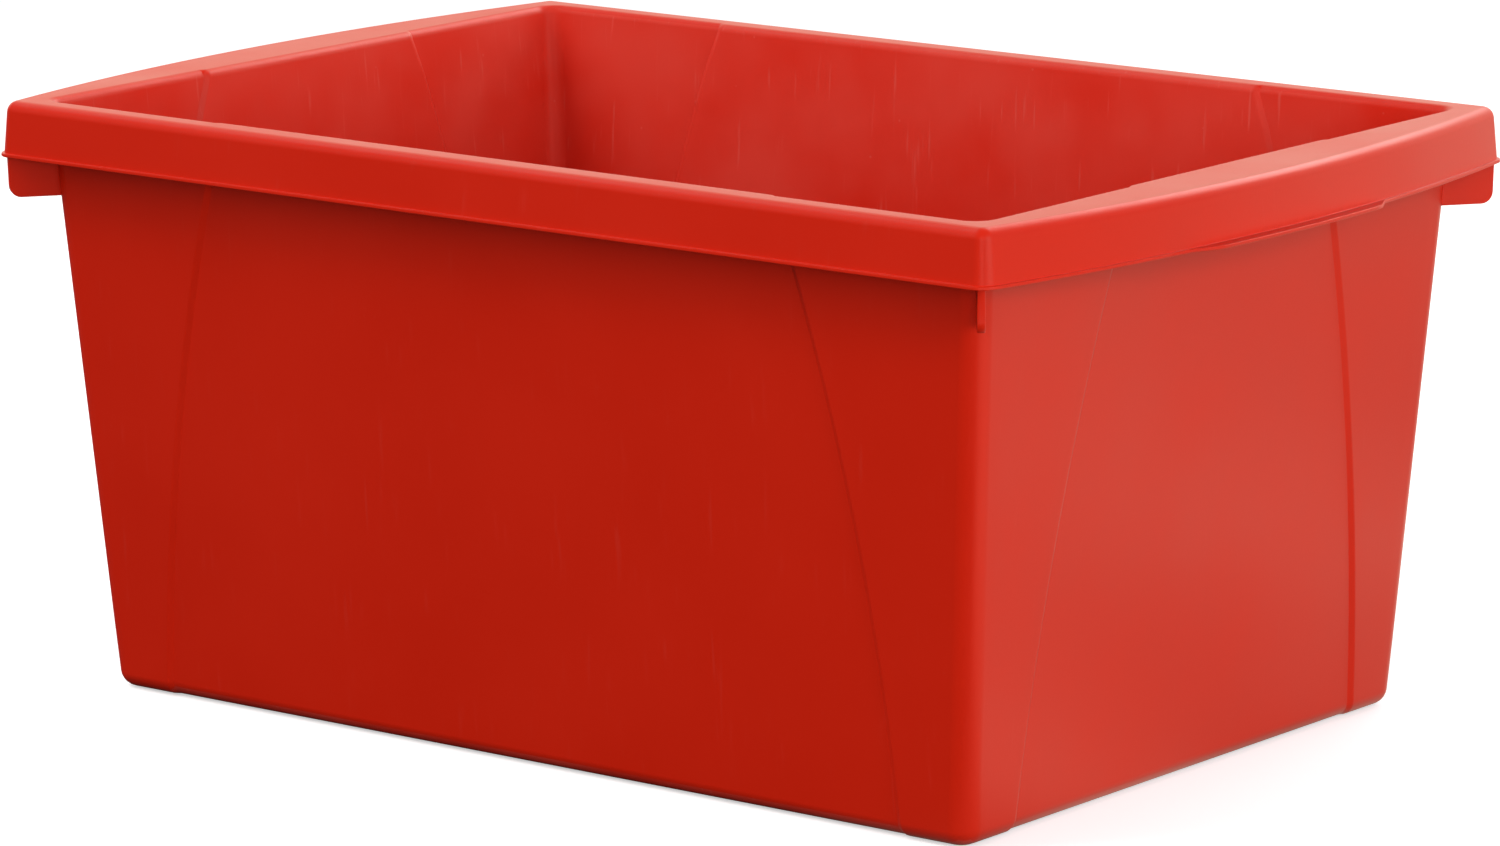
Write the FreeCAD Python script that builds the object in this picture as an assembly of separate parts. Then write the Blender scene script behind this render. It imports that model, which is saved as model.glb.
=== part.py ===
"""Open storage tub in moulded polypropylene: tapered walls with recessed panels, a turned-down
rim whose ends bow out as handles, and a nesting stop under each rim corner.

Millimetres. Origin at the middle of the underside, +X along the length, +Z up, front at -Y.
The tub is one moulding. It is cut into named regions where its shape changes.
"""
import FreeCAD, Part
import math
import os

V = FreeCAD.Vector

# Body: outer wall faces at the underside, and how far each leans out up to the rim top
HEIGHT = 209.5
BASE_LENGTH = 374.5
BASE_WIDTH = 250.5
END_LEAN = 15.5
SIDE_LEAN = 13.5
WALL = 2.0
FLOOR = 2.4
CORNER_RADIUS = 8.0        # outside of the upright corners
BASE_ROUND = 6.0           # outside of the edge round the underside

# Recessed panel in the middle of each wall, between two curved creases
PANEL_RECESS = 1.2
PANEL_MARGIN_BASE = 26.0   # from the corner to the crease, at the underside
PANEL_MARGIN_TOP = 82.5    # the same at the rim top
CREASE_SAG = 7.0           # bow of a crease towards its corner
STEP_RUN = 2.0             # width of the sloping step along the wall
PANEL_FOOT = 2.0           # height at which the recess begins, in the base round
PANEL_FADE = 5.0           # height over which it reaches its full depth

# Rim: lip edge beyond the walls' rim-top line, and the section of the turned-down edge
END_OVERHANG = 10.25       # at the corners, before the bow
SIDE_OVERHANG = 12.25
HANDLE_BOW = 15.5          # outward bow of each end
RIM_WALL = 2.0
RIM_LEG = 6.0              # inner leg, down to where the wall begins
SKIRT_DEPTH = 19.3
SKIRT_FLARE = 1.7          # outward lean of the skirt over its depth
RIM_ROUND = 4.0            # outer top edge
RIM_INNER_ROUND = 3.0      # inner top edge
CHANNEL_CORNER = 2.5       # corner radius inside the skirt, at its top
LIP_REACH = 1.0
LIP_HEIGHT = 1.2

# Grip ledge: the lip made wider along the middle of each handle
GRIP_LENGTH = 112.0
GRIP_REACH = 4.0
GRIP_TAPER = 7.5           # length of each slanted end

# Nesting stop: slanting web inside each rim corner, hanging below the skirt
STOP_THICKNESS = 2.6
STOP_ANGLE = 38.0          # degrees in plan, turned from the width towards the length
STOP_DROP = 14.5           # below the skirt
STOP_INSET = 2.0           # from the lip's edge in to the free outer edge, just below the skirt
STOP_TAPER = 0.5           # lean of the free outer edge
STOP_ROUND = 4.0           # lower outer corner

CLEAR = 5.0                # how far cutting shapes run past what they cut
LEVEL_TOLERANCE = 1e-4
FILLET_SHARE = 0.9         # largest fillet beside a radius or a leg, as a share of it
TOP_LENGTH = BASE_LENGTH + 2 * END_LEAN
TOP_WIDTH = BASE_WIDTH + 2 * SIDE_LEAN
RIM_LENGTH = TOP_LENGTH + 2 * END_OVERHANG
RIM_WIDTH = TOP_WIDTH + 2 * SIDE_OVERHANG
SKIRT_BOTTOM = HEIGHT - SKIRT_DEPTH
LEG_BOTTOM = HEIGHT - RIM_LEG
SKIRT_INSET_TOP = LIP_REACH + SKIRT_FLARE
ENDS = {"left": -1, "right": 1}
LONG_SIDES = {"front": -1, "back": 1}
SIDES = {**LONG_SIDES, **ENDS}


def half_length(z):
    """Outer face of an end wall at height z."""
    return BASE_LENGTH / 2 + END_LEAN * z / HEIGHT


def half_width(z):
    """Outer face of a long wall at height z."""
    return BASE_WIDTH / 2 + SIDE_LEAN * z / HEIGHT


def line(a, b):
    return Part.LineSegment(a, b).toShape()


def arc(a, b, c):
    return Part.Arc(a, b, c).toShape()


def loft(*wires):
    """Solid with straight sides from wire to wire."""
    return Part.makeLoft(list(wires), True, True)


def edges_at(shape, z):
    """Edges that lie at one height."""
    def is_level(edge):
        return max(abs(v.Point.z - z) for v in edge.Vertexes) < LEVEL_TOLERANCE

    return [e for e in shape.Edges if is_level(e)]


def one_solid(shape):
    """The largest solid of a boolean result, with split faces joined."""
    return max(shape.removeSplitter().Solids, key=lambda s: s.Volume)


def rounded_rectangle(hx, hy, r, z):
    """Plan outline of the body at one height."""
    k = r * (1 - math.sqrt(0.5))
    edges = []
    corners = [(1, -1), (1, 1), (-1, 1), (-1, -1)]
    for i, (sx, sy) in enumerate(corners):
        along_x = V(sx * (hx - r), sy * hy, z)
        along_y = V(sx * hx, sy * (hy - r), z)
        middle = V(sx * (hx - k), sy * (hy - k), z)
        first, last = (along_x, along_y) if sx * sy < 0 else (along_y, along_x)
        nx, ny = corners[(i + 1) % 4]
        following = V(nx * hx, ny * (hy - r), z) if nx * ny > 0 else V(nx * (hx - r), ny * hy, z)
        edges += [arc(first, middle, last), line(last, following)]
    return Part.Wire(edges)


def body_block(inset, corner, z0, z1, edge_round):
    """Tapered block inside the outer wall faces by an inset, with its lower edge rounded."""
    def outline(z):
        return rounded_rectangle(half_length(z) - inset, half_width(z) - inset, corner, z)

    block = loft(outline(z0), outline(z1))
    return block.makeFillet(min(edge_round, FILLET_SHARE * corner), edges_at(block, z0))


def panel_wire(side, depth, inset, shift):
    """Panel outline at a depth into a wall, from a surface that lies inset from the outer face."""
    share = depth / PANEL_RECESS
    span = half_length if side in LONG_SIDES else half_width
    face = half_width if side in LONG_SIDES else half_length

    def point(sign, z):
        t = z / HEIGHT
        margin = PANEL_MARGIN_BASE + (PANEL_MARGIN_TOP - PANEL_MARGIN_BASE) * t
        margin -= 4 * CREASE_SAG * t * (1 - t)
        u = sign * (span(z) - margin + shift - STEP_RUN * share)
        v = SIDES[side] * (face(z) - inset - depth)
        return V(u, v, z) if side in LONG_SIDES else V(v, u, z)

    low = PANEL_FOOT + PANEL_FADE * share
    high = HEIGHT + CLEAR
    middle = (low + high) / 2
    return Part.Wire([
        line(point(-1, low), point(1, low)),
        arc(point(1, low), point(1, middle), point(1, high)),
        line(point(1, high), point(-1, high)),
        arc(point(-1, high), point(-1, middle), point(-1, low))])


def panel_step(side, inset, shift):
    """Shape of one recess, from just outside a surface down to its full depth."""
    proud = -PANEL_RECESS / 4
    return loft(panel_wire(side, proud, inset, shift), panel_wire(side, PANEL_RECESS, inset, shift))


def handle_arc():
    """Centre along X and radius of the arc that the lip follows round each handle."""
    w = RIM_WIDTH / 2
    radius = (w * w + HANDLE_BOW ** 2) / (2 * HANDLE_BOW)
    return RIM_LENGTH / 2 + HANDLE_BOW - radius, radius


def rim_corner(inset):
    """Centre and radius of the rim's corner arc, which touches the long side and the bowed end."""
    bow_x, radius = handle_arc()
    lip_corner = CHANNEL_CORNER + SKIRT_INSET_TOP + RIM_WALL
    cy = RIM_WIDTH / 2 - lip_corner
    cx = bow_x + math.sqrt((radius - lip_corner) ** 2 - cy * cy)
    return cx, cy, lip_corner - inset


def rim_outline(inset, z):
    """Rim outline inside the lip edge by an inset: straight long sides and bowed ends."""
    bow_x, radius = handle_arc()
    cx, cy, r = rim_corner(inset)
    reach = math.hypot(cx - bow_x, cy)
    ex = bow_x + (cx - bow_x) * (radius - inset) / reach
    ey = cy * (radius - inset) / reach
    turn = (math.atan2(cy, cx - bow_x) + math.pi / 2) / 2
    mx = cx + r * math.cos(turn)
    my = cy + r * math.sin(turn)
    tip = bow_x + radius - inset
    y = RIM_WIDTH / 2 - inset
    edges = []
    for s in (1, -1):
        edges += [
            line(V(-s * cx, -s * y, z), V(s * cx, -s * y, z)),
            arc(V(s * cx, -s * y, z), V(s * mx, -s * my, z), V(s * ex, -s * ey, z)),
            arc(V(s * ex, -s * ey, z), V(s * tip, 0, z), V(s * ex, s * ey, z)),
            arc(V(s * ex, s * ey, z), V(s * mx, s * my, z), V(s * cx, s * y, z))]
    return Part.Wire(edges)


def make_tub_outer():
    """Outer surface of the body as a full block, with the panels cut in."""
    block = body_block(0, CORNER_RADIUS, 0, HEIGHT, BASE_ROUND)
    return block.cut([panel_step(side, 0, 0) for side in SIDES])


def make_cavity():
    """Inner surface of the body as a full block, whose panels stand in to keep the wall's thickness."""
    corner = CORNER_RADIUS - WALL
    block = body_block(WALL, corner, FLOOR, HEIGHT + CLEAR, BASE_ROUND - WALL)
    shift = WALL * math.tan(math.atan2(PANEL_RECESS, STEP_RUN) / 2)
    return block.cut([panel_step(side, WALL, shift) for side in SIDES])


def make_rim(outer, cavity):
    """The whole turned-down rim: inner leg, top, skirt and lip."""
    skirt = loft(rim_outline(LIP_REACH, SKIRT_BOTTOM), rim_outline(SKIRT_INSET_TOP, HEIGHT))
    corner_radius = rim_corner(SKIRT_INSET_TOP)[2]
    skirt = skirt.makeFillet(min(RIM_ROUND, FILLET_SHARE * corner_radius), edges_at(skirt, HEIGHT))
    lip = Part.Face(rim_outline(0, SKIRT_BOTTOM)).extrude(V(0, 0, LIP_HEIGHT))
    ceiling = HEIGHT - RIM_WALL
    channel = loft(
        rim_outline(LIP_REACH + RIM_WALL, SKIRT_BOTTOM - CLEAR),
        rim_outline(LIP_REACH + RIM_WALL, SKIRT_BOTTOM),
        rim_outline(SKIRT_INSET_TOP + RIM_WALL, ceiling))
    channel_round = min(RIM_ROUND - RIM_WALL, FILLET_SHARE * CHANNEL_CORNER)
    channel = channel.makeFillet(channel_round, edges_at(channel, ceiling))
    reach = RIM_LENGTH + RIM_WIDTH
    top_slice = Part.makeBox(2 * reach, 2 * reach, RIM_LEG, V(-reach, -reach, LEG_BOTTOM))
    leg = outer.common(top_slice)
    rim = skirt.fuse(lip).cut(channel).fuse(leg).cut(cavity).removeSplitter()
    mouth = [e for e in edges_at(rim, HEIGHT) if is_mouth_edge(e)]
    mouth_room = FILLET_SHARE * min(RIM_LEG, CORNER_RADIUS - WALL)
    return rim.makeFillet(min(RIM_INNER_ROUND, mouth_room), mouth)


def is_mouth_edge(edge):
    """Whether an edge at the rim top runs round the tub's mouth."""
    middle = edge.valueAt((edge.FirstParameter + edge.LastParameter) / 2)
    return abs(middle.x) < half_length(HEIGHT) and abs(middle.y) < half_width(HEIGHT)


def tapered_piece(shape, corners):
    """Part of a shape inside a plan rectangle, whose corners are a function of the height."""
    wires = []
    for z in (-CLEAR, HEIGHT + CLEAR):
        points = [V(x, y, z) for x, y in corners(z)]
        wires.append(Part.makePolygon(points + points[:1]))
    return one_solid(shape.common(loft(*wires)))


def make_body_regions(outer, cavity):
    """Floor, four walls and four corners, cut where the upright corners begin to turn."""
    reach = RIM_LENGTH + RIM_WIDTH
    below_leg = Part.makeBox(2 * reach, 2 * reach, LEG_BOTTOM + CLEAR, V(-reach, -reach, -CLEAR))
    shell = outer.common(below_leg).cut(cavity)

    def flat_x(z):
        return half_length(z) - CORNER_RADIUS

    def flat_y(z):
        return half_width(z) - CORNER_RADIUS

    def rectangle(x0, x1, y0, y1):
        return [(x0, y0), (x1, y0), (x1, y1), (x0, y1)]

    regions = {"floor": tapered_piece(
        shell, lambda z: rectangle(-flat_x(z), flat_x(z), -flat_y(z), flat_y(z)))}
    for name, s in LONG_SIDES.items():
        regions[name + "_wall"] = tapered_piece(
            shell, lambda z: rectangle(-flat_x(z), flat_x(z), s * flat_y(z), s * reach))
    for name, s in ENDS.items():
        regions[name + "_wall"] = tapered_piece(
            shell, lambda z: rectangle(s * flat_x(z), s * reach, -flat_y(z), flat_y(z)))
    for name, sx, sy in corner_names():
        regions["corner_" + name] = tapered_piece(
            shell, lambda z: rectangle(sx * flat_x(z), sx * reach, sy * flat_y(z), sy * reach))
    return regions


def corner_names():
    """The four corners with their signs along X and Y."""
    return [(f"{y}_{x}", ENDS[x], LONG_SIDES[y]) for y in LONG_SIDES for x in ENDS]


def diagonal(t):
    """Plan point on a mitre line, t along each axis from the wall's top corner."""
    return TOP_LENGTH / 2 + t, TOP_WIDTH / 2 + t


def make_rim_regions(rim):
    """Two long rims and two handle rims, mitred along the diagonals of the corners."""
    far = RIM_WIDTH
    ox, oy = diagonal(far)
    ix, iy = diagonal(-TOP_WIDTH / 2)
    regions = {}
    for name, s in SIDES.items():
        if name in LONG_SIDES:
            plan = [(-ox, s * oy), (ox, s * oy), (ix, s * iy), (-ix, s * iy)]
        else:
            plan = [(s * ox, -oy), (s * ox, oy), (s * ix, iy), (s * ix, -iy)]
        points = [V(x, y, 0) for x, y in plan]
        wedge = Part.Face(Part.makePolygon(points + points[:1])).extrude(V(0, 0, HEIGHT + CLEAR))
        kind = "_rim" if name in LONG_SIDES else "_handle_rim"
        regions[name + kind] = one_solid(rim.common(wedge))
    return regions


def make_grip_ledge(s):
    """Wider lip along the middle of one handle, against the lip's edge."""
    bow_x, radius = handle_arc()

    def point(reach, y):
        return V(s * (bow_x + math.sqrt((radius + reach) ** 2 - y * y)), y, SKIRT_BOTTOM)

    root = GRIP_LENGTH / 2
    tip = root - GRIP_TAPER
    outline = Part.Wire([
        arc(point(0, -root), point(0, 0), point(0, root)),
        line(point(0, root), point(GRIP_REACH, tip)),
        arc(point(GRIP_REACH, tip), point(GRIP_REACH, 0), point(GRIP_REACH, -tip)),
        line(point(GRIP_REACH, -tip), point(0, -root))])
    return Part.Face(outline).extrude(V(0, 0, LIP_HEIGHT))


def make_stop(sx, sy, rim, outer):
    """Slanting web in one rim corner, between the wall and the skirt, hanging below the skirt."""
    low = SKIRT_BOTTOM - STOP_DROP
    foot = rim_outline(STOP_INSET + STOP_TAPER, low)
    room = loft(
        foot,
        rim_outline(STOP_INSET, SKIRT_BOTTOM),
        rim_outline(SKIRT_INSET_TOP + RIM_WALL, HEIGHT))
    angle = math.radians(STOP_ANGLE)
    along = V(sx * math.sin(angle), sy * math.cos(angle), 0)
    across = V(-along.y, along.x, 0) * STOP_THICKNESS
    wall_corner = V(sx * TOP_LENGTH / 2, sy * TOP_WIDTH / 2, low)
    far = RIM_WIDTH
    inside = -2 * (CORNER_RADIUS + END_LEAN)
    free = line(wall_corner, wall_corner + along * far).common(Part.Face(foot)).Length
    round_top = free + STOP_ROUND * STOP_TAPER / STOP_DROP
    bulge = STOP_ROUND * (1 - math.sqrt(0.5))
    top = SKIRT_DEPTH + STOP_DROP

    def point(reach, rise):
        return wall_corner + along * reach + V(0, 0, rise) - across / 2

    profile = Part.Wire([
        line(point(inside, 0), point(free - STOP_ROUND, 0)),
        arc(point(free - STOP_ROUND, 0), point(free - bulge, bulge), point(round_top, STOP_ROUND)),
        line(point(round_top, STOP_ROUND), point(far, STOP_ROUND)),
        line(point(far, STOP_ROUND), point(far, top)),
        line(point(far, top), point(inside, top)),
        line(point(inside, top), point(inside, 0))])
    plate = Part.Face(profile).extrude(across)
    return one_solid(plate.common(room).cut([rim, outer]))


def main():
    outer = make_tub_outer()
    cavity = make_cavity()
    rim = make_rim(outer, cavity)
    nodes = make_body_regions(outer, cavity)
    nodes.update(make_rim_regions(rim))
    for name, s in ENDS.items():
        nodes[name + "_grip_ledge"] = make_grip_ledge(s)
    for name, sx, sy in corner_names():
        nodes["stop_" + name] = make_stop(sx, sy, rim, outer)
    os.makedirs("parts", exist_ok=True)
    for name, shape in nodes.items():
        shape.exportStep(f"parts/{name}.step")
        print(f"{name}: {shape.ShapeType}, valid {shape.isValid()}, {shape.Volume / 1000:.2f} cm3")


main()
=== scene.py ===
import math

import bmesh
import bpy
from mathutils import Matrix, Vector


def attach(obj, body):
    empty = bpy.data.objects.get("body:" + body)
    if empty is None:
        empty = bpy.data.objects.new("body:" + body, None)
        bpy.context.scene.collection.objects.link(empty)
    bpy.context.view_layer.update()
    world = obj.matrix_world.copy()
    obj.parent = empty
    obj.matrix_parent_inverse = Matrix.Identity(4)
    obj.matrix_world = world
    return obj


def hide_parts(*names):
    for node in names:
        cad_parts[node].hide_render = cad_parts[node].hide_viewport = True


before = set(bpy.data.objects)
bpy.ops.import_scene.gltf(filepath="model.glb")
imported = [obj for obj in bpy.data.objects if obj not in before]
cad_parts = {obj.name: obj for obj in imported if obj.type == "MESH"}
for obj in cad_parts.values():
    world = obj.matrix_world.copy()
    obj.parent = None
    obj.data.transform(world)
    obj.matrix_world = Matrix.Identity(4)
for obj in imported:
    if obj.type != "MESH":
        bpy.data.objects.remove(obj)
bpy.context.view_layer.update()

MM = 0.001
RIGHT_ANGLE = math.pi / 2

# Sizes of the moulding in millimetres, the same as the CAD part's
HEIGHT = 209.5
BASE_LENGTH = 374.5
BASE_WIDTH = 250.5
END_LEAN = 15.5
SIDE_LEAN = 13.5
WALL = 2.0
CORNER_RADIUS = 8.0
FLOOR_ROUND = 4.0
PANEL_RECESS = 1.2
PANEL_MARGIN_BASE = 26.0
PANEL_MARGIN_TOP = 82.5
CREASE_SAG = 7.0
STEP_RUN = 2.0
RIM_LENGTH = 426.0
RIM_WIDTH = 302.0
HANDLE_BOW = 15.5
SKIRT_DEPTH = 19.3
SKIRT_FLARE = 1.7
RIM_CORNER = 7.2
RIM_ROUND = 4.0
MOUTH_ROUND = 3.0
LIP_REACH = 1.0
LIP_HEIGHT = 1.2
GRIP_LENGTH = 112.0
GRIP_REACH = 4.0
GRIP_TAPER = 7.5
STOP_THICKNESS = 2.6
STOP_ANGLE = 38.0
STOP_DROP = 14.5
STOP_ROUND = 4.0
STOP_TAPER = 0.5                       # lean of the free edge below the skirt
STOP_TOP_GAP = 2.6                     # from the rim's top down to the stop
STOP_WALL_LOW, STOP_WALL_TOP = -7.7, -4.6      # along the stop, from the wall's top corner
STOP_FREE_LOW, STOP_FREE_TOP = 11.4, 10.0

SKIRT_BOTTOM = HEIGHT - SKIRT_DEPTH
SKIRT_TOP_INSET = LIP_REACH + SKIRT_FLARE
SKIRT_LEAN = math.atan2(SKIRT_FLARE, SKIRT_DEPTH)
WALL_LEAN = math.atan2((END_LEAN + SIDE_LEAN) / 2, HEIGHT)

# The moulding is a stack of rings. Each has the same columns in every quarter, from the middle of
# an end to the middle of a long side: end panel, end crease, end margin, corner, long crease.
PANEL_COLUMNS = (0.16, 0.44, 0.74)                    # shares of the end panel's half width
MARGIN_COLUMNS = (0.17, 0.34, 0.51, 0.68, 0.85)       # shares of the end margin, from its crease
CORNER_COLUMNS = 9
RIM_END_COLUMNS = (3.0, 8.5, 14.0, 20.0, 26.0, 32.0, 38.0, 44.0, 56.0, 69.0, 82.0, 97.0, 113.0, 130.0)
RIM_SIDE_COLUMNS = (121.5, 120.5, 119.5, 118.0, 117.0, 116.0)
INNER_BEND = 0.3       # radius inside the tub where a margin turns into the step
PANEL_BEND = 2.3       # radius inside the tub where the step turns into the panel
COLUMNS = 4 * (len(RIM_END_COLUMNS) + CORNER_COLUMNS + len(RIM_SIDE_COLUMNS))
WALL_ROWS = (194, 180, 165, 150, 134, 118, 102, 86, 70, 54, 38, 22)      # heights of the wall's rings
ROUND_STEPS = 6        # rings along each round

# Edges sharper than an angle in degrees are rounded by a radius in millimetres
TUB_SHARP, TUB_EDGE = 50, 0.25
STOP_SHARP, STOP_EDGE = 40, 0.3
EDGE_STEPS = 2
SMOOTH_BELOW = 60      # degrees

# For picking by place, in millimetres, and by the rise of a face's normal
NEAR = 1.0
TOUCH = 0.1
UPRIGHT = 0.5

# Patterns of the plastic, in millimetres
CLOUD_SIZE = 70
SCUFF_WIDTH, SCUFF_LENGTH = 2, 60
SPECK_SPACING = 14
WAVE_SIZE, WAVE_DEPTH = 110, 1.2
GRAIN_SIZE, GRAIN_DEPTH = 0.8, 0.02    # coarser than life, so that it shows
SCUFF_AND_SHEEN_DEPTH = 1.6        # depth below the outer face where scuffs and painted sheen on the inside begin
SCUFF_AND_SHEEN_CORNER = 2.8       # the same at a rounded corner, across the two directions

# Strength of the patterns, as shares
CLOUD_LOW, CLOUD_HIGH = 0.35, 0.65     # levels of the noise, from none to full
SCUFF_LOW, SCUFF_HIGH = 0.62, 0.80
SPECK_CORE, SPECK_EDGE = 0.020, 0.045  # radii, as shares of the spacing
MARKS_OUTSIDE = 0.025
MARKS_INSIDE = 0.12
PAINTED_SHEEN_LEAST, PAINTED_SHEEN_MOST = 0.03, 0.14     # painted sheen on the inside, a paler red that stands in for reflected light
GLOSS_LOW, GLOSS_HIGH = 0.3, 0.7       # levels of the noise, from glossiest to dullest
ROUGH_LEAST, ROUGH_MOST = 0.34, 0.42
PLASTIC_IOR = 1.49

# Camera of the photograph, in degrees, millimetres and pixels of its frame
VIEW_TURN, VIEW_RISE, VIEW_ROLL = 38.224, 11.758, -0.325
VIEW_MIDDLE = (0.0, 0.0, 100.0)
VIEW_OFFSET = (0.73, -3.04, 2567.7)    # right, up and back from the middle
FOCAL_PIXELS, FRAME_PIXELS = 7379, 1500
SENSOR_WIDTH = 36
VIEW_END = 100         # metres

# Studio: places in metres, light as shares of white
LIGHT_AIM = (0.0, 0.0, 0.1)
FLOOR_SIZE = 12.0
FLOOR_GAP = 0.0003                     # so that floor and underside do not share a plane
FLOOR_PATCH = 0.35                     # patches of uneven light on the floor
PATCH_LEAST, PATCH_MOST = 0.5, 1.5     # shares of the floor's light
FADE_START, FADE_END = 0.7, 2.0        # where the floor turns to plain white for the camera
FLOOR_SIDE = (0.50, 0.87, 0.0)         # towards the lit part of the floor
FLOOR_START, FLOOR_FULL = -0.06, 0.10  # where its light begins and where it is full
SWEEP_SIDE = (-0.35, 0.94, 0.0)        # towards the lit sweep
SWEEP_START, SWEEP_FULL = 0.2, 0.8     # the same for the sweep, as cosines from its middle
SHEEN_COLOUR = "FFF7E2"                # the sweep is lit by warm lamps
SWEEP_LEVEL = 1.30                     # the lit sweep, as reflections show it
FLOOR_LEVEL = 1.05                     # the lit floor, as reflections show it
FLOOR_LIFT = 0.5                       # added to the lit floor for the camera, to make it white
ROOM_LEVEL = 0.40                      # the room's diffuse light
WHITE = (1, 1, 1, 1)


def pick(kind, wanted):
    """Selects the verts, edges or faces of the open mesh that pass a test."""
    bpy.ops.mesh.select_mode(type=kind)
    bpy.ops.mesh.select_all(action="DESELECT")
    mesh = bmesh.from_edit_mesh(bpy.context.edit_object.data)
    parts = {"VERT": mesh.verts, "EDGE": mesh.edges, "FACE": mesh.faces}[kind]
    for part in parts:
        if wanted(part):
            part.select_set(True)
    mesh.select_flush_mode()


def middle(part):
    """Middle of an edge or face, in millimetres."""
    return sum((v.co for v in part.verts), Vector()) / len(part.verts) / MM


def move(x=0.0, y=0.0, z=0.0):
    bpy.ops.transform.translate(value=(x * MM, y * MM, z * MM))


def apply_modifier(piece, kind, **settings):
    modifier = piece.modifiers.new(kind.lower(), kind)
    for name, value in settings.items():
        setattr(modifier, name, value)
    bpy.ops.object.modifier_apply(modifier=modifier.name)


def half_length(z):
    return BASE_LENGTH / 2 + END_LEAN * z / HEIGHT


def half_width(z):
    return BASE_WIDTH / 2 + SIDE_LEAN * z / HEIGHT


def crease_section():
    """Run and depth of the columns across a crease: a bend, the sloping step, and a bend back."""
    slope = math.atan2(PANEL_RECESS, STEP_RUN)
    inner = INNER_BEND * math.tan(slope / 2)
    outer = PANEL_BEND * math.tan(slope / 2)
    turn_x = math.sin(slope / 2)
    turn_y = 1 - math.cos(slope / 2)
    return [
        (-inner, 0.0),
        (-inner + INNER_BEND * turn_x, INNER_BEND * turn_y),
        (inner * math.cos(slope), inner * math.sin(slope)),
        (STEP_RUN - outer * math.cos(slope), PANEL_RECESS - outer * math.sin(slope)),
        (STEP_RUN + outer - PANEL_BEND * turn_x, PANEL_RECESS - PANEL_BEND * turn_y),
        (STEP_RUN + outer, PANEL_RECESS)]


def corner_points(cx, cy, radius, start):
    """Points round a corner, from an angle to the straight long side."""
    step = (RIGHT_ANGLE - start) / (CORNER_COLUMNS - 1)
    angles = [start + k * step for k in range(CORNER_COLUMNS)]
    return [(cx + radius * math.cos(a), cy + radius * math.sin(a)) for a in angles]


def rim_ring(inset):
    """A quarter of the rim inside the lip's edge by an inset: bowed handle, corner, long side."""
    half = RIM_WIDTH / 2
    radius = (half * half + HANDLE_BOW ** 2) / (2 * HANDLE_BOW)
    bow_x = RIM_LENGTH / 2 + HANDLE_BOW - radius
    cy = half - RIM_CORNER
    cx = bow_x + math.sqrt((radius - RIM_CORNER) ** 2 - cy * cy)
    end = [(bow_x + math.sqrt((radius - inset) ** 2 - y * y), y) for y in RIM_END_COLUMNS]
    corner = corner_points(cx, cy, RIM_CORNER - inset, math.atan2(cy, cx - bow_x))
    side = [(x, half - inset) for x in RIM_SIDE_COLUMNS]
    return end + corner + side


def body_ring(z, inset, radius):
    """A quarter of the body at a height, inside the outer wall faces by an inset."""
    hx = half_length(z) - inset
    hy = half_width(z) - inset
    t = z / HEIGHT
    margin = PANEL_MARGIN_BASE + (PANEL_MARGIN_TOP - PANEL_MARGIN_BASE) * t
    margin -= 4 * CREASE_SAG * t * (1 - t)
    margin -= WALL * math.tan(math.atan2(PANEL_RECESS, STEP_RUN) / 2)
    end_crease = [(hx - depth, half_width(z) - margin - run) for run, depth in crease_section()]
    side_crease = [(half_length(z) - margin - run, hy - depth) for run, depth in crease_section()]
    panel_x, panel_y = end_crease[-1]
    crease_y = end_crease[0][1]
    panel = [(panel_x, panel_y * k) for k in PANEL_COLUMNS]
    edge = [(hx, crease_y + (hy - radius - crease_y) * k) for k in MARGIN_COLUMNS]
    corner = corner_points(hx - radius, hy - radius, radius, 0.0)
    return panel + end_crease[::-1] + edge + corner + side_crease


def tub_rings():
    """Heights and quarters of all rings, from the skirt's lower edge over the rim to the floor."""
    lip_inset = LIP_REACH + SKIRT_FLARE * LIP_HEIGHT / SKIRT_DEPTH
    rings = [(SKIRT_BOTTOM, rim_ring(LIP_REACH)), (SKIRT_BOTTOM + LIP_HEIGHT, rim_ring(lip_inset))]
    sweep = RIGHT_ANGLE - SKIRT_LEAN
    centre = SKIRT_TOP_INSET + RIM_ROUND * math.tan(sweep / 2)
    for k in range(ROUND_STEPS + 1):
        a = SKIRT_LEAN + sweep * k / ROUND_STEPS
        z = HEIGHT - RIM_ROUND + RIM_ROUND * math.sin(a)
        rings.append((z, rim_ring(centre - RIM_ROUND * math.cos(a))))
    sweep = RIGHT_ANGLE - WALL_LEAN
    inner_corner = CORNER_RADIUS - WALL
    reach = MOUTH_ROUND * math.tan(sweep / 2)
    for k in range(ROUND_STEPS + 1):
        a = sweep * k / ROUND_STEPS
        out = reach - MOUTH_ROUND * math.sin(a)
        z = HEIGHT - MOUTH_ROUND + MOUTH_ROUND * math.cos(a)
        rings.append((z, body_ring(HEIGHT, WALL - out, inner_corner + out)))
    for z in WALL_ROWS:
        rings.append((z, body_ring(z, WALL, inner_corner)))
    reach = FLOOR_ROUND * math.tan(sweep / 2)
    for k in range(ROUND_STEPS + 1):
        a = WALL_LEAN + sweep * k / ROUND_STEPS
        into = reach - FLOOR_ROUND * math.cos(a)
        z = WALL + FLOOR_ROUND - FLOOR_ROUND * math.sin(a)
        inset = WALL + into + (z - WALL) * math.tan(WALL_LEAN)
        rings.append((z, body_ring(z, inset, inner_corner - into)))
    return rings


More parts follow.
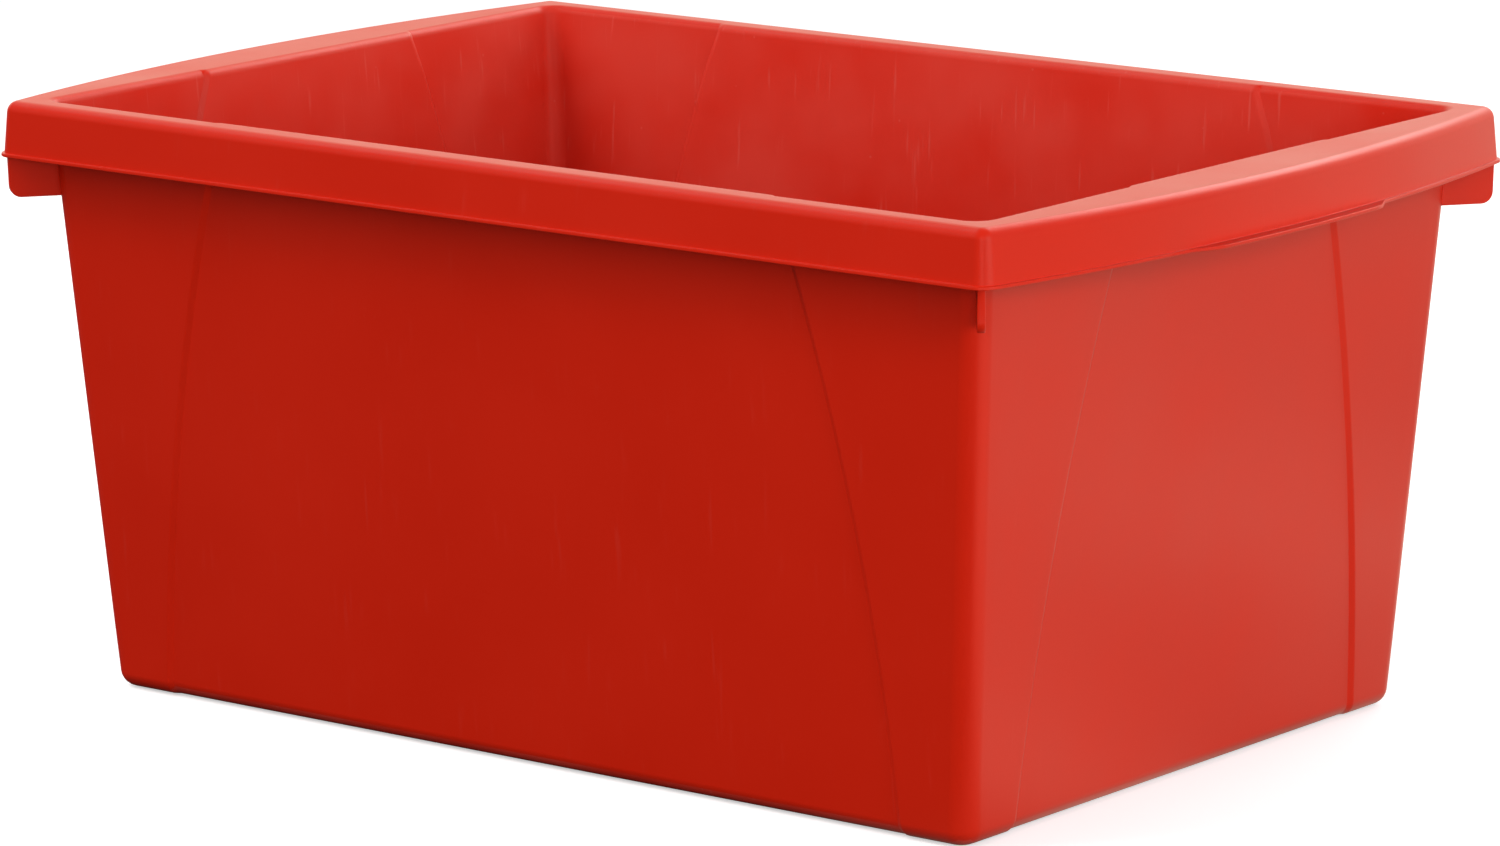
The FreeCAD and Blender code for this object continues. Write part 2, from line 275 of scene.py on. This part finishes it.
def shape_ring(points):
    """Scales the selected ring's columns, four mirrored verts at a time, to a quarter's points."""
    mesh = bmesh.from_edit_mesh(bpy.context.edit_object.data)
    ring = [v for v in mesh.verts if v.select]
    quarters = {}
    for v in ring:
        quarters.setdefault((v.co.x > 0, v.co.y > 0), []).append(v)
    for quarter in quarters.values():
        quarter.sort(key=lambda v: math.atan2(abs(v.co.y), abs(v.co.x)))
    for column, (x, y) in zip(zip(*quarters.values()), points):
        bpy.ops.mesh.select_all(action="DESELECT")
        for v in column:
            v.select_set(True)
        now = column[0].co
        scale = (x * MM / abs(now.x), y * MM / abs(now.y), 1)
        bpy.ops.transform.resize(value=scale, center_override=(0, 0, 0))
    for v in ring:
        v.select_set(True)
    mesh.select_flush(True)


def model_tub():
    """The moulding as one skin, from the skirt over the rim into the tub, then given its wall."""
    rings = tub_rings()
    height, points = rings[0]
    bpy.ops.object.select_all(action="DESELECT")
    bpy.ops.mesh.primitive_circle_add(
        vertices=COLUMNS, radius=RIM_WIDTH / 2 * MM, location=(0, 0, height * MM),
        rotation=(0, 0, math.pi / COLUMNS))
    tub = bpy.context.object
    tub.name = "tub"
    tub.data.name = "tub"
    bpy.ops.object.transform_apply(location=True, rotation=True, scale=True)
    bpy.ops.object.mode_set(mode="EDIT")
    bpy.ops.mesh.select_mode(type="VERT")
    bpy.ops.mesh.select_all(action="SELECT")
    shape_ring(points)
    for z, points in rings[1:]:
        bpy.ops.mesh.extrude_region_move(TRANSFORM_OT_translate={"value": (0, 0, (z - height) * MM)})
        shape_ring(points)
        height = z
    bpy.ops.mesh.edge_face_add()
    bpy.ops.mesh.select_all(action="SELECT")
    bpy.ops.mesh.normals_make_consistent(inside=False)
    mesh = bmesh.from_edit_mesh(tub.data)
    floor = min(mesh.faces, key=lambda f: f.calc_center_median().z)
    if floor.normal.z < 0:
        bpy.ops.mesh.flip_normals()
    bpy.ops.object.mode_set(mode="OBJECT")
    apply_modifier(tub, "SOLIDIFY", thickness=WALL * MM, offset=-1, use_even_offset=True)
    bpy.ops.object.mode_set(mode="EDIT")
    add_lip_and_ledges()
    bpy.ops.object.mode_set(mode="OBJECT")
    return tub


def add_lip_and_ledges():
    """Draws the lip out of the skirt's lower edge, and the grip ledges out of the lip."""
    lip_middle = SKIRT_BOTTOM + LIP_HEIGHT / 2

    def on_outer_band(face):
        m = middle(face)
        outwards = face.normal.x * m.x / RIM_LENGTH ** 2 + face.normal.y * m.y / RIM_WIDTH ** 2
        return abs(m.z - lip_middle) < LIP_HEIGHT / 4 and abs(face.normal.z) < UPRIGHT and outwards > 0

    def on_ledge(face):
        m = middle(face)
        return on_outer_band(face) and abs(m.y) < GRIP_LENGTH / 2 and abs(m.x) > RIM_LENGTH / 2

    pick("FACE", on_outer_band)
    bpy.ops.mesh.extrude_region_shrink_fatten(TRANSFORM_OT_shrink_fatten={"value": LIP_REACH * MM})
    for s in (-1, 1):
        pick("FACE", lambda f: on_ledge(f) and s * f.normal.x > 0)
        bpy.ops.mesh.extrude_region_move(
            TRANSFORM_OT_translate={"value": (s * GRIP_REACH * MM, 0, 0)})
    for s in (-1, 1):
        tip_x = RIM_LENGTH / 2 + HANDLE_BOW
        pick("VERT", lambda v: abs(v.co.x) / MM > tip_x and abs(v.co.y / MM - s * GRIP_LENGTH / 2) < NEAR)
        move(y=-s * GRIP_TAPER)


def finish_edges(piece, sharp, edge_round):
    """Softens the sharp edges of a moulded piece and shades it smooth between them."""
    bpy.ops.object.select_all(action="DESELECT")
    piece.select_set(True)
    bpy.context.view_layer.objects.active = piece
    bpy.ops.object.mode_set(mode="EDIT")
    bpy.ops.mesh.select_mode(type="EDGE")
    bpy.ops.mesh.select_all(action="DESELECT")
    bpy.ops.mesh.edges_select_sharp(sharpness=math.radians(sharp))
    bpy.ops.mesh.bevel(offset=edge_round * MM, segments=EDGE_STEPS, profile=0.5, affect="EDGES")
    bpy.ops.object.mode_set(mode="OBJECT")
    bpy.ops.object.shade_smooth_by_angle(angle=math.radians(SMOOTH_BELOW))
    apply_modifier(piece, "WEIGHTED_NORMAL", keep_sharp=True)


def model_stop():
    """Slanting web in the back right corner of the rim, from the wall to the skirt."""
    low = SKIRT_BOTTOM - STOP_DROP
    top = HEIGHT - STOP_TOP_GAP
    wall_shift = STOP_WALL_TOP - STOP_WALL_LOW
    bpy.ops.object.select_all(action="DESELECT")
    bpy.ops.mesh.primitive_cube_add(size=MM, location=(0, 0, 0))
    stop = bpy.context.object
    bpy.ops.object.mode_set(mode="EDIT")
    bpy.ops.mesh.select_all(action="SELECT")
    bpy.ops.transform.resize(value=(STOP_FREE_LOW - STOP_WALL_LOW, STOP_THICKNESS, top - low))
    move(x=(STOP_FREE_LOW + STOP_WALL_LOW) / 2, z=(top + low) / 2)
    bpy.ops.mesh.bisect(plane_co=(0, 0, SKIRT_BOTTOM * MM), plane_no=(0, 0, 1))
    pick("VERT", lambda v: v.co.z / MM > top - NEAR and v.co.x > 0)
    move(x=STOP_FREE_TOP - STOP_FREE_LOW)
    pick("VERT", lambda v: abs(v.co.z / MM - SKIRT_BOTTOM) < NEAR and v.co.x > 0)
    move(x=STOP_TAPER)
    pick("VERT", lambda v: v.co.z / MM > top - NEAR and v.co.x < 0)
    move(x=wall_shift)
    pick("VERT", lambda v: abs(v.co.z / MM - SKIRT_BOTTOM) < NEAR and v.co.x < 0)
    move(x=wall_shift * STOP_DROP / (top - low))
    pick("EDGE", lambda e: middle(e).z < low + TOUCH and middle(e).x > STOP_FREE_LOW - TOUCH)
    bpy.ops.mesh.bevel(offset=STOP_ROUND * MM, segments=ROUND_STEPS, profile=0.5, affect="EDGES")
    bpy.ops.mesh.select_all(action="SELECT")
    turn = RIGHT_ANGLE - math.radians(STOP_ANGLE)
    bpy.ops.transform.rotate(value=-turn, orient_axis="Z", center_override=(0, 0, 0))
    move(x=half_length(HEIGHT), y=half_width(HEIGHT))
    bpy.ops.object.mode_set(mode="OBJECT")
    finish_edges(stop, STOP_SHARP, STOP_EDGE)
    return stop


def place_stops(first):
    """The modelled stop and three mirrored copies, one for each corner of the rim."""
    stops = {}
    for y, sy in (("front", -1), ("back", 1)):
        for x, sx in (("left", -1), ("right", 1)):
            copy = first.copy()
            copy.data = first.data.copy()
            copy.name = copy.data.name = f"nesting_stop_{y}_{x}"
            bpy.context.collection.objects.link(copy)
            bpy.ops.object.select_all(action="DESELECT")
            copy.select_set(True)
            bpy.context.view_layer.objects.active = copy
            bpy.ops.object.mode_set(mode="EDIT")
            bpy.ops.mesh.select_all(action="SELECT")
            bpy.ops.transform.resize(value=(sx, sy, 1), center_override=(0, 0, 0))
            bpy.ops.mesh.normals_make_consistent(inside=False)
            bpy.ops.object.mode_set(mode="OBJECT")
            stops[f"stop_{y}_{x}"] = copy
    bpy.data.objects.remove(first)
    return stops


def srgb(code):
    """Linear colour of an sRGB hex code."""
    parts = [int(code[i:i + 2], 16) / 255 for i in (0, 2, 4)]
    return [c / 12.92 if c <= 0.04045 else ((c + 0.055) / 1.055) ** 2.4 for c in parts] + [1.0]


def add_node(tree, kind, feeds=None, **settings):
    """Adds a node with its settings. Feeds give each of its inputs an output or a value."""
    node = tree.nodes.new(kind)
    for name, value in settings.items():
        setattr(node, name, value)
    for name, value in (feeds or {}).items():
        if isinstance(value, bpy.types.NodeSocket):
            tree.links.new(value, node.inputs[name])
        else:
            node.inputs[name].default_value = value
    return node.outputs


def wear_marks(tree, place):
    """Scuffs that run up the walls, from tubs drawn out of a nest, and specks about 1 mm across."""
    across, along = 1 / (SCUFF_WIDTH * MM), 1 / (SCUFF_LENGTH * MM)
    upright = add_node(
        tree, "ShaderNodeMapping", {"Vector": place, "Scale": (across, across, along)})["Vector"]
    streak = add_node(
        tree, "ShaderNodeTexNoise", {"Vector": upright, "Scale": 1.0, "Detail": 2.0})["Fac"]
    scuff = add_node(
        tree, "ShaderNodeMapRange",
        {"Value": streak, "From Min": SCUFF_LOW, "From Max": SCUFF_HIGH, "To Min": 0.0, "To Max": 1.0},
        interpolation_type="SMOOTHSTEP")["Result"]
    dots = add_node(
        tree, "ShaderNodeTexVoronoi", {"Vector": place, "Scale": 1 / (SPECK_SPACING * MM)})["Distance"]
    speck = add_node(
        tree, "ShaderNodeMapRange",
        {"Value": dots, "From Min": SPECK_CORE, "From Max": SPECK_EDGE, "To Min": 1.0,
         "To Max": 0.0})["Result"]
    return add_node(tree, "ShaderNodeMath", {0: scuff, 1: speck}, operation="MAXIMUM")[0]


def inside_of_tub(tree, place):
    """1 on the inside and the underside and 0 on the outside, told apart by their depth below the
    outer faces, and below a slanting plane across each rounded corner."""
    axes = add_node(tree, "ShaderNodeSeparateXYZ", {0: place})
    reach = []
    face = []
    for axis, length, lean in (("X", BASE_LENGTH, END_LEAN), ("Y", BASE_WIDTH, SIDE_LEAN)):
        reach.append(add_node(tree, "ShaderNodeMath", {0: axes[axis]}, operation="ABSOLUTE")[0])
        face.append(add_node(
            tree, "ShaderNodeMath", {0: axes["Z"], 1: lean / HEIGHT, 2: (length / 2 - SCUFF_AND_SHEEN_DEPTH) * MM},
            operation="MULTIPLY_ADD")[0])
    reach.append(add_node(tree, "ShaderNodeMath", {0: reach[0], 1: reach[1]}, operation="ADD")[0])
    corner = add_node(tree, "ShaderNodeMath", {0: face[0], 1: face[1]}, operation="ADD")[0]
    face.append(add_node(tree, "ShaderNodeMath", {0: corner, 1: SCUFF_AND_SHEEN_CORNER * MM}, operation="SUBTRACT")[0])
    inside = 1.0
    for distance, limit in zip(reach, face):
        within = add_node(tree, "ShaderNodeMath", {0: distance, 1: limit}, operation="LESS_THAN")[0]
        inside = add_node(tree, "ShaderNodeMath", {0: inside, 1: within}, operation="MULTIPLY")[0]
    return inside


def red_polypropylene():
    """Polypropylene, injection moulded and coloured through. A satin tool finish leaves a fine grain
    that spreads highlights into a pale haze. The wall is never quite flat, so the haze is uneven.
    Use leaves faint marks on the outside, and scuffs on the inside and the underside. These also get
    a patchy painted sheen: a paler red painted in where reflected light would show."""
    material = bpy.data.materials.new("red_polypropylene")
    material.use_nodes = True
    tree = material.node_tree
    tree.nodes.clear()
    place = add_node(tree, "ShaderNodeTexCoord")["Object"]

    # Cloudy patches, in the sheen more than in the colour
    cloud = add_node(
        tree, "ShaderNodeTexNoise",
        {"Vector": place, "Scale": 1 / (CLOUD_SIZE * MM), "Detail": 3.0, "Roughness": 0.55})["Fac"]
    red = add_node(
        tree, "ShaderNodeMix", {0: cloud, 6: srgb("CC1D06"), 7: srgb("D62209")}, data_type="RGBA")[2]

    # Marks, and on the inside scuffs and a patchy painted sheen, mixed in as a paler red
    mark = wear_marks(tree, place)
    faint = add_node(tree, "ShaderNodeMath", {0: mark, 1: MARKS_OUTSIDE}, operation="MULTIPLY")[0]
    # Painted sheen: a patchy paler red for the inside, standing in for reflected light
    haze = add_node(
        tree, "ShaderNodeMapRange",
        {"Value": cloud, "From Min": CLOUD_LOW, "From Max": CLOUD_HIGH, "To Min": PAINTED_SHEEN_LEAST,
         "To Max": PAINTED_SHEEN_MOST})["Result"]
    scuffs_and_painted_sheen = add_node(
        tree, "ShaderNodeMath", {0: mark, 1: MARKS_INSIDE, 2: haze}, operation="MULTIPLY_ADD")[0]
    # Only the inside and the underside get the scuffs and the painted sheen
    inside = inside_of_tub(tree, place)
    inside_scuffs_and_sheen = add_node(tree, "ShaderNodeMath", {0: inside, 1: scuffs_and_painted_sheen}, operation="MULTIPLY")[0]
    marks_and_painted_sheen = add_node(tree, "ShaderNodeMath", {0: faint, 1: inside_scuffs_and_sheen}, operation="ADD")[0]
    colour = add_node(
        tree, "ShaderNodeMix", {0: marks_and_painted_sheen, 6: red, 7: srgb("E08A7C")}, data_type="RGBA")[2]

    gloss = add_node(
        tree, "ShaderNodeMapRange",
        {"Value": cloud, "From Min": GLOSS_LOW, "From Max": GLOSS_HIGH, "To Min": ROUGH_LEAST,
         "To Max": ROUGH_MOST})["Result"]
    matt = add_node(tree, "ShaderNodeMath", {0: faint, 1: gloss}, operation="ADD")[0]

    # Slow waves of the wall, and on them the grain of the tool finish
    wave = add_node(
        tree, "ShaderNodeTexNoise",
        {"Vector": place, "Scale": 1 / (WAVE_SIZE * MM), "Detail": 1.0})["Fac"]
    grain = add_node(
        tree, "ShaderNodeTexNoise",
        {"Vector": place, "Scale": 1 / (GRAIN_SIZE * MM), "Detail": 2.0})["Fac"]
    warp = add_node(
        tree, "ShaderNodeBump", {"Height": wave, "Strength": 1.0, "Distance": WAVE_DEPTH * MM})["Normal"]
    relief = add_node(
        tree, "ShaderNodeBump",
        {"Height": grain, "Normal": warp, "Strength": 1.0, "Distance": GRAIN_DEPTH * MM})["Normal"]
    shader = add_node(
        tree, "ShaderNodeBsdfPrincipled",
        {"Base Color": colour, "Roughness": matt, "Normal": relief, "IOR": PLASTIC_IOR,
         "Specular Tint": srgb("FFF0E2")})["BSDF"]
    add_node(tree, "ShaderNodeOutputMaterial", {"Surface": shader})
    return material


def make_camera():
    """Long-lens view of the front and right sides, from a little above the rim."""
    turn = Matrix.Rotation(math.radians(VIEW_TURN), 3, "Z")
    tilt = Matrix.Rotation(math.radians(90 - VIEW_RISE), 3, "X")
    roll = Matrix.Rotation(math.radians(VIEW_ROLL), 3, "Z")
    axes = turn @ tilt @ roll
    place = (Vector(VIEW_MIDDLE) + axes @ Vector(VIEW_OFFSET)) * MM
    bpy.ops.object.camera_add(location=place, rotation=axes.to_euler())
    camera = bpy.context.object
    camera.data.sensor_width = SENSOR_WIDTH
    camera.data.lens = FOCAL_PIXELS * SENSOR_WIDTH / FRAME_PIXELS
    camera.data.clip_end = VIEW_END
    bpy.context.scene.camera = camera


def area_light(name, place, size, watts, shine=False):
    """Softbox at a place, facing the tub. Without shine it is crossed by a polariser, which takes its
    highlights away and leaves the full red."""
    direction = Vector(LIGHT_AIM) - Vector(place)
    bpy.ops.object.light_add(
        type="AREA", location=place, rotation=direction.to_track_quat("-Z", "Y").to_euler())
    lamp = bpy.context.object
    lamp.name = name
    lamp.data.shape = "RECTANGLE"
    lamp.data.size, lamp.data.size_y = size
    lamp.data.energy = watts
    lamp.visible_camera = False
    lamp.visible_glossy = shine


def matt_white_floor():
    """Matt paper. The camera sees it white with the tub's shadow, and plain white further away.
    Reflections see it dark in front of the tub, and lit unevenly behind it."""
    paint = bpy.data.materials.new("matt_white_floor")
    paint.use_nodes = True
    tree = paint.node_tree
    tree.nodes.clear()
    path = add_node(tree, "ShaderNodeLightPath")
    place = add_node(tree, "ShaderNodeTexCoord")["Object"]

    behind = add_node(
        tree, "ShaderNodeVectorMath", {0: place, 1: FLOOR_SIDE}, operation="DOT_PRODUCT")["Value"]
    sweep = add_node(
        tree, "ShaderNodeMapRange",
        {"Value": behind, "From Min": FLOOR_START, "From Max": FLOOR_FULL, "To Min": 0.0,
         "To Max": FLOOR_LEVEL}, interpolation_type="SMOOTHSTEP")["Result"]
    patch = add_node(
        tree, "ShaderNodeTexNoise", {"Vector": place, "Scale": 1 / FLOOR_PATCH, "Detail": 1.0})["Fac"]
    uneven = add_node(
        tree, "ShaderNodeMapRange",
        {"Value": patch, "From Min": CLOUD_LOW, "From Max": CLOUD_HIGH, "To Min": PATCH_LEAST,
         "To Max": PATCH_MOST})["Result"]
    board = add_node(tree, "ShaderNodeMath", {0: sweep, 1: uneven}, operation="MULTIPLY")[0]
    sheen = add_node(
        tree, "ShaderNodeMath", {0: path["Is Glossy Ray"], 1: board}, operation="MULTIPLY")[0]
    lit = add_node(tree, "ShaderNodeEmission", {"Color": srgb(SHEEN_COLOUR), "Strength": sheen})[0]
    grey = add_node(tree, "ShaderNodeBsdfDiffuse", {"Color": srgb("383838")})[0]
    dim = add_node(tree, "ShaderNodeAddShader", {0: grey, 1: lit})[0]

    pale = add_node(tree, "ShaderNodeBsdfDiffuse", {"Color": srgb("E6E6E6")})[0]
    glow = add_node(tree, "ShaderNodeEmission", {"Color": WHITE, "Strength": FLOOR_LIFT})[0]
    near = add_node(tree, "ShaderNodeAddShader", {0: pale, 1: glow})[0]
    far = add_node(tree, "ShaderNodeEmission", {"Color": WHITE, "Strength": 1.0})[0]
    away = add_node(tree, "ShaderNodeVectorMath", {0: place}, operation="LENGTH")["Value"]
    fade = add_node(
        tree, "ShaderNodeMapRange",
        {"Value": away, "From Min": FADE_START, "From Max": FADE_END, "To Min": 0.0, "To Max": 1.0},
        interpolation_type="SMOOTHSTEP")["Result"]
    ground = add_node(tree, "ShaderNodeMixShader", {0: fade, 1: near, 2: far})[0]
    seen = add_node(
        tree, "ShaderNodeMath", {0: path["Is Camera Ray"], 1: path["Is Transmission Ray"]},
        operation="MAXIMUM")[0]
    surface = add_node(tree, "ShaderNodeMixShader", {0: seen, 1: dim, 2: ground})[0]
    add_node(tree, "ShaderNodeOutputMaterial", {"Surface": surface})
    return paint


def make_room():
    """White for the camera. Reflections see a lit sweep behind the tub, in a dark room."""
    world = bpy.data.worlds.new("studio")
    bpy.context.scene.world = world
    world.use_nodes = True
    tree = world.node_tree
    tree.nodes.clear()
    path = add_node(tree, "ShaderNodeLightPath")
    direction = add_node(tree, "ShaderNodeTexCoord")["Generated"]
    behind = add_node(
        tree, "ShaderNodeVectorMath", {0: direction, 1: SWEEP_SIDE}, operation="DOT_PRODUCT")["Value"]
    sweep = add_node(
        tree, "ShaderNodeMapRange",
        {"Value": behind, "From Min": SWEEP_START, "From Max": SWEEP_FULL, "To Min": 0.0,
         "To Max": SWEEP_LEVEL}, interpolation_type="SMOOTHSTEP")["Result"]
    sheen = add_node(
        tree, "ShaderNodeMath", {0: path["Is Glossy Ray"], 1: sweep}, operation="MULTIPLY")[0]
    fill = add_node(
        tree, "ShaderNodeMath", {0: path["Is Diffuse Ray"], 1: ROOM_LEVEL}, operation="MULTIPLY")[0]
    level = 0.0
    for share in (path["Is Camera Ray"], path["Is Transmission Ray"], sheen, fill):
        level = add_node(tree, "ShaderNodeMath", {0: level, 1: share}, operation="MAXIMUM")[0]
    tint = add_node(
        tree, "ShaderNodeMix", {0: path["Is Glossy Ray"], 6: WHITE, 7: srgb(SHEEN_COLOUR)},
        data_type="RGBA")[2]
    light = add_node(tree, "ShaderNodeBackground", {"Color": tint, "Strength": level})[0]
    add_node(tree, "ShaderNodeOutputWorld", {"Surface": light})


def make_studio():
    """White surroundings on a pale floor. The sweep behind the tub is lit and the room in front of it
    is dark, so the front keeps its full red, and the rim and the far side carry a pale sheen."""
    bpy.ops.object.select_all(action="DESELECT")
    bpy.ops.mesh.primitive_plane_add(size=FLOOR_SIZE, location=(0, 0, -FLOOR_GAP))
    floor = bpy.context.object
    floor.name = "floor_plane"
    floor.data.materials.append(matt_white_floor())
    make_room()
    area_light("key_light", (-0.8, -1.1, 1.8), (0.6, 0.6), 12)
    area_light("front_left_softbox", (-1.2, -1.7, 1.4), (1.0, 1.0), 12)
    area_light("camera_side_softbox", (1.2, -1.7, 0.45), (0.9, 0.7), 13)
    area_light("right_softbox", (2.0, -0.2, 0.6), (1.2, 1.0), 19)
    area_light("back_softbox", (0.2, 2.1, 0.6), (1.2, 1.0), 12)
    area_light("left_softbox", (-2.0, -0.1, 0.5), (0.8, 0.8), 10)
    area_light("back_panel", (0.0, 1.6, 1.25), (1.2, 0.5), 9, shine=True)
    area_light("top_left_panel", (-1.0, -0.2, 1.6), (0.8, 0.8), 3, shine=True)
    area_light("right_back_softbox", (1.5, 1.5, 0.6), (1.2, 1.0), 5)


tub = model_tub()
finish_edges(tub, TUB_SHARP, TUB_EDGE)
stops = place_stops(model_stop())
plastic = red_polypropylene()
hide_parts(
    "floor", "front_wall", "back_wall", "left_wall", "right_wall", "corner_front_left",
    "corner_front_right", "corner_back_left", "corner_back_right", "front_rim", "back_rim",
    "left_handle_rim", "right_handle_rim", "left_grip_ledge", "right_grip_ledge")
for node, stop in stops.items():
    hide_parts(node)
for piece in [tub, *stops.values()]:
    piece.data.materials.clear()
    piece.data.materials.append(plastic)
    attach(piece, "root")

make_camera()
make_studio()
bpy.context.scene.view_settings.view_transform = "Standard"
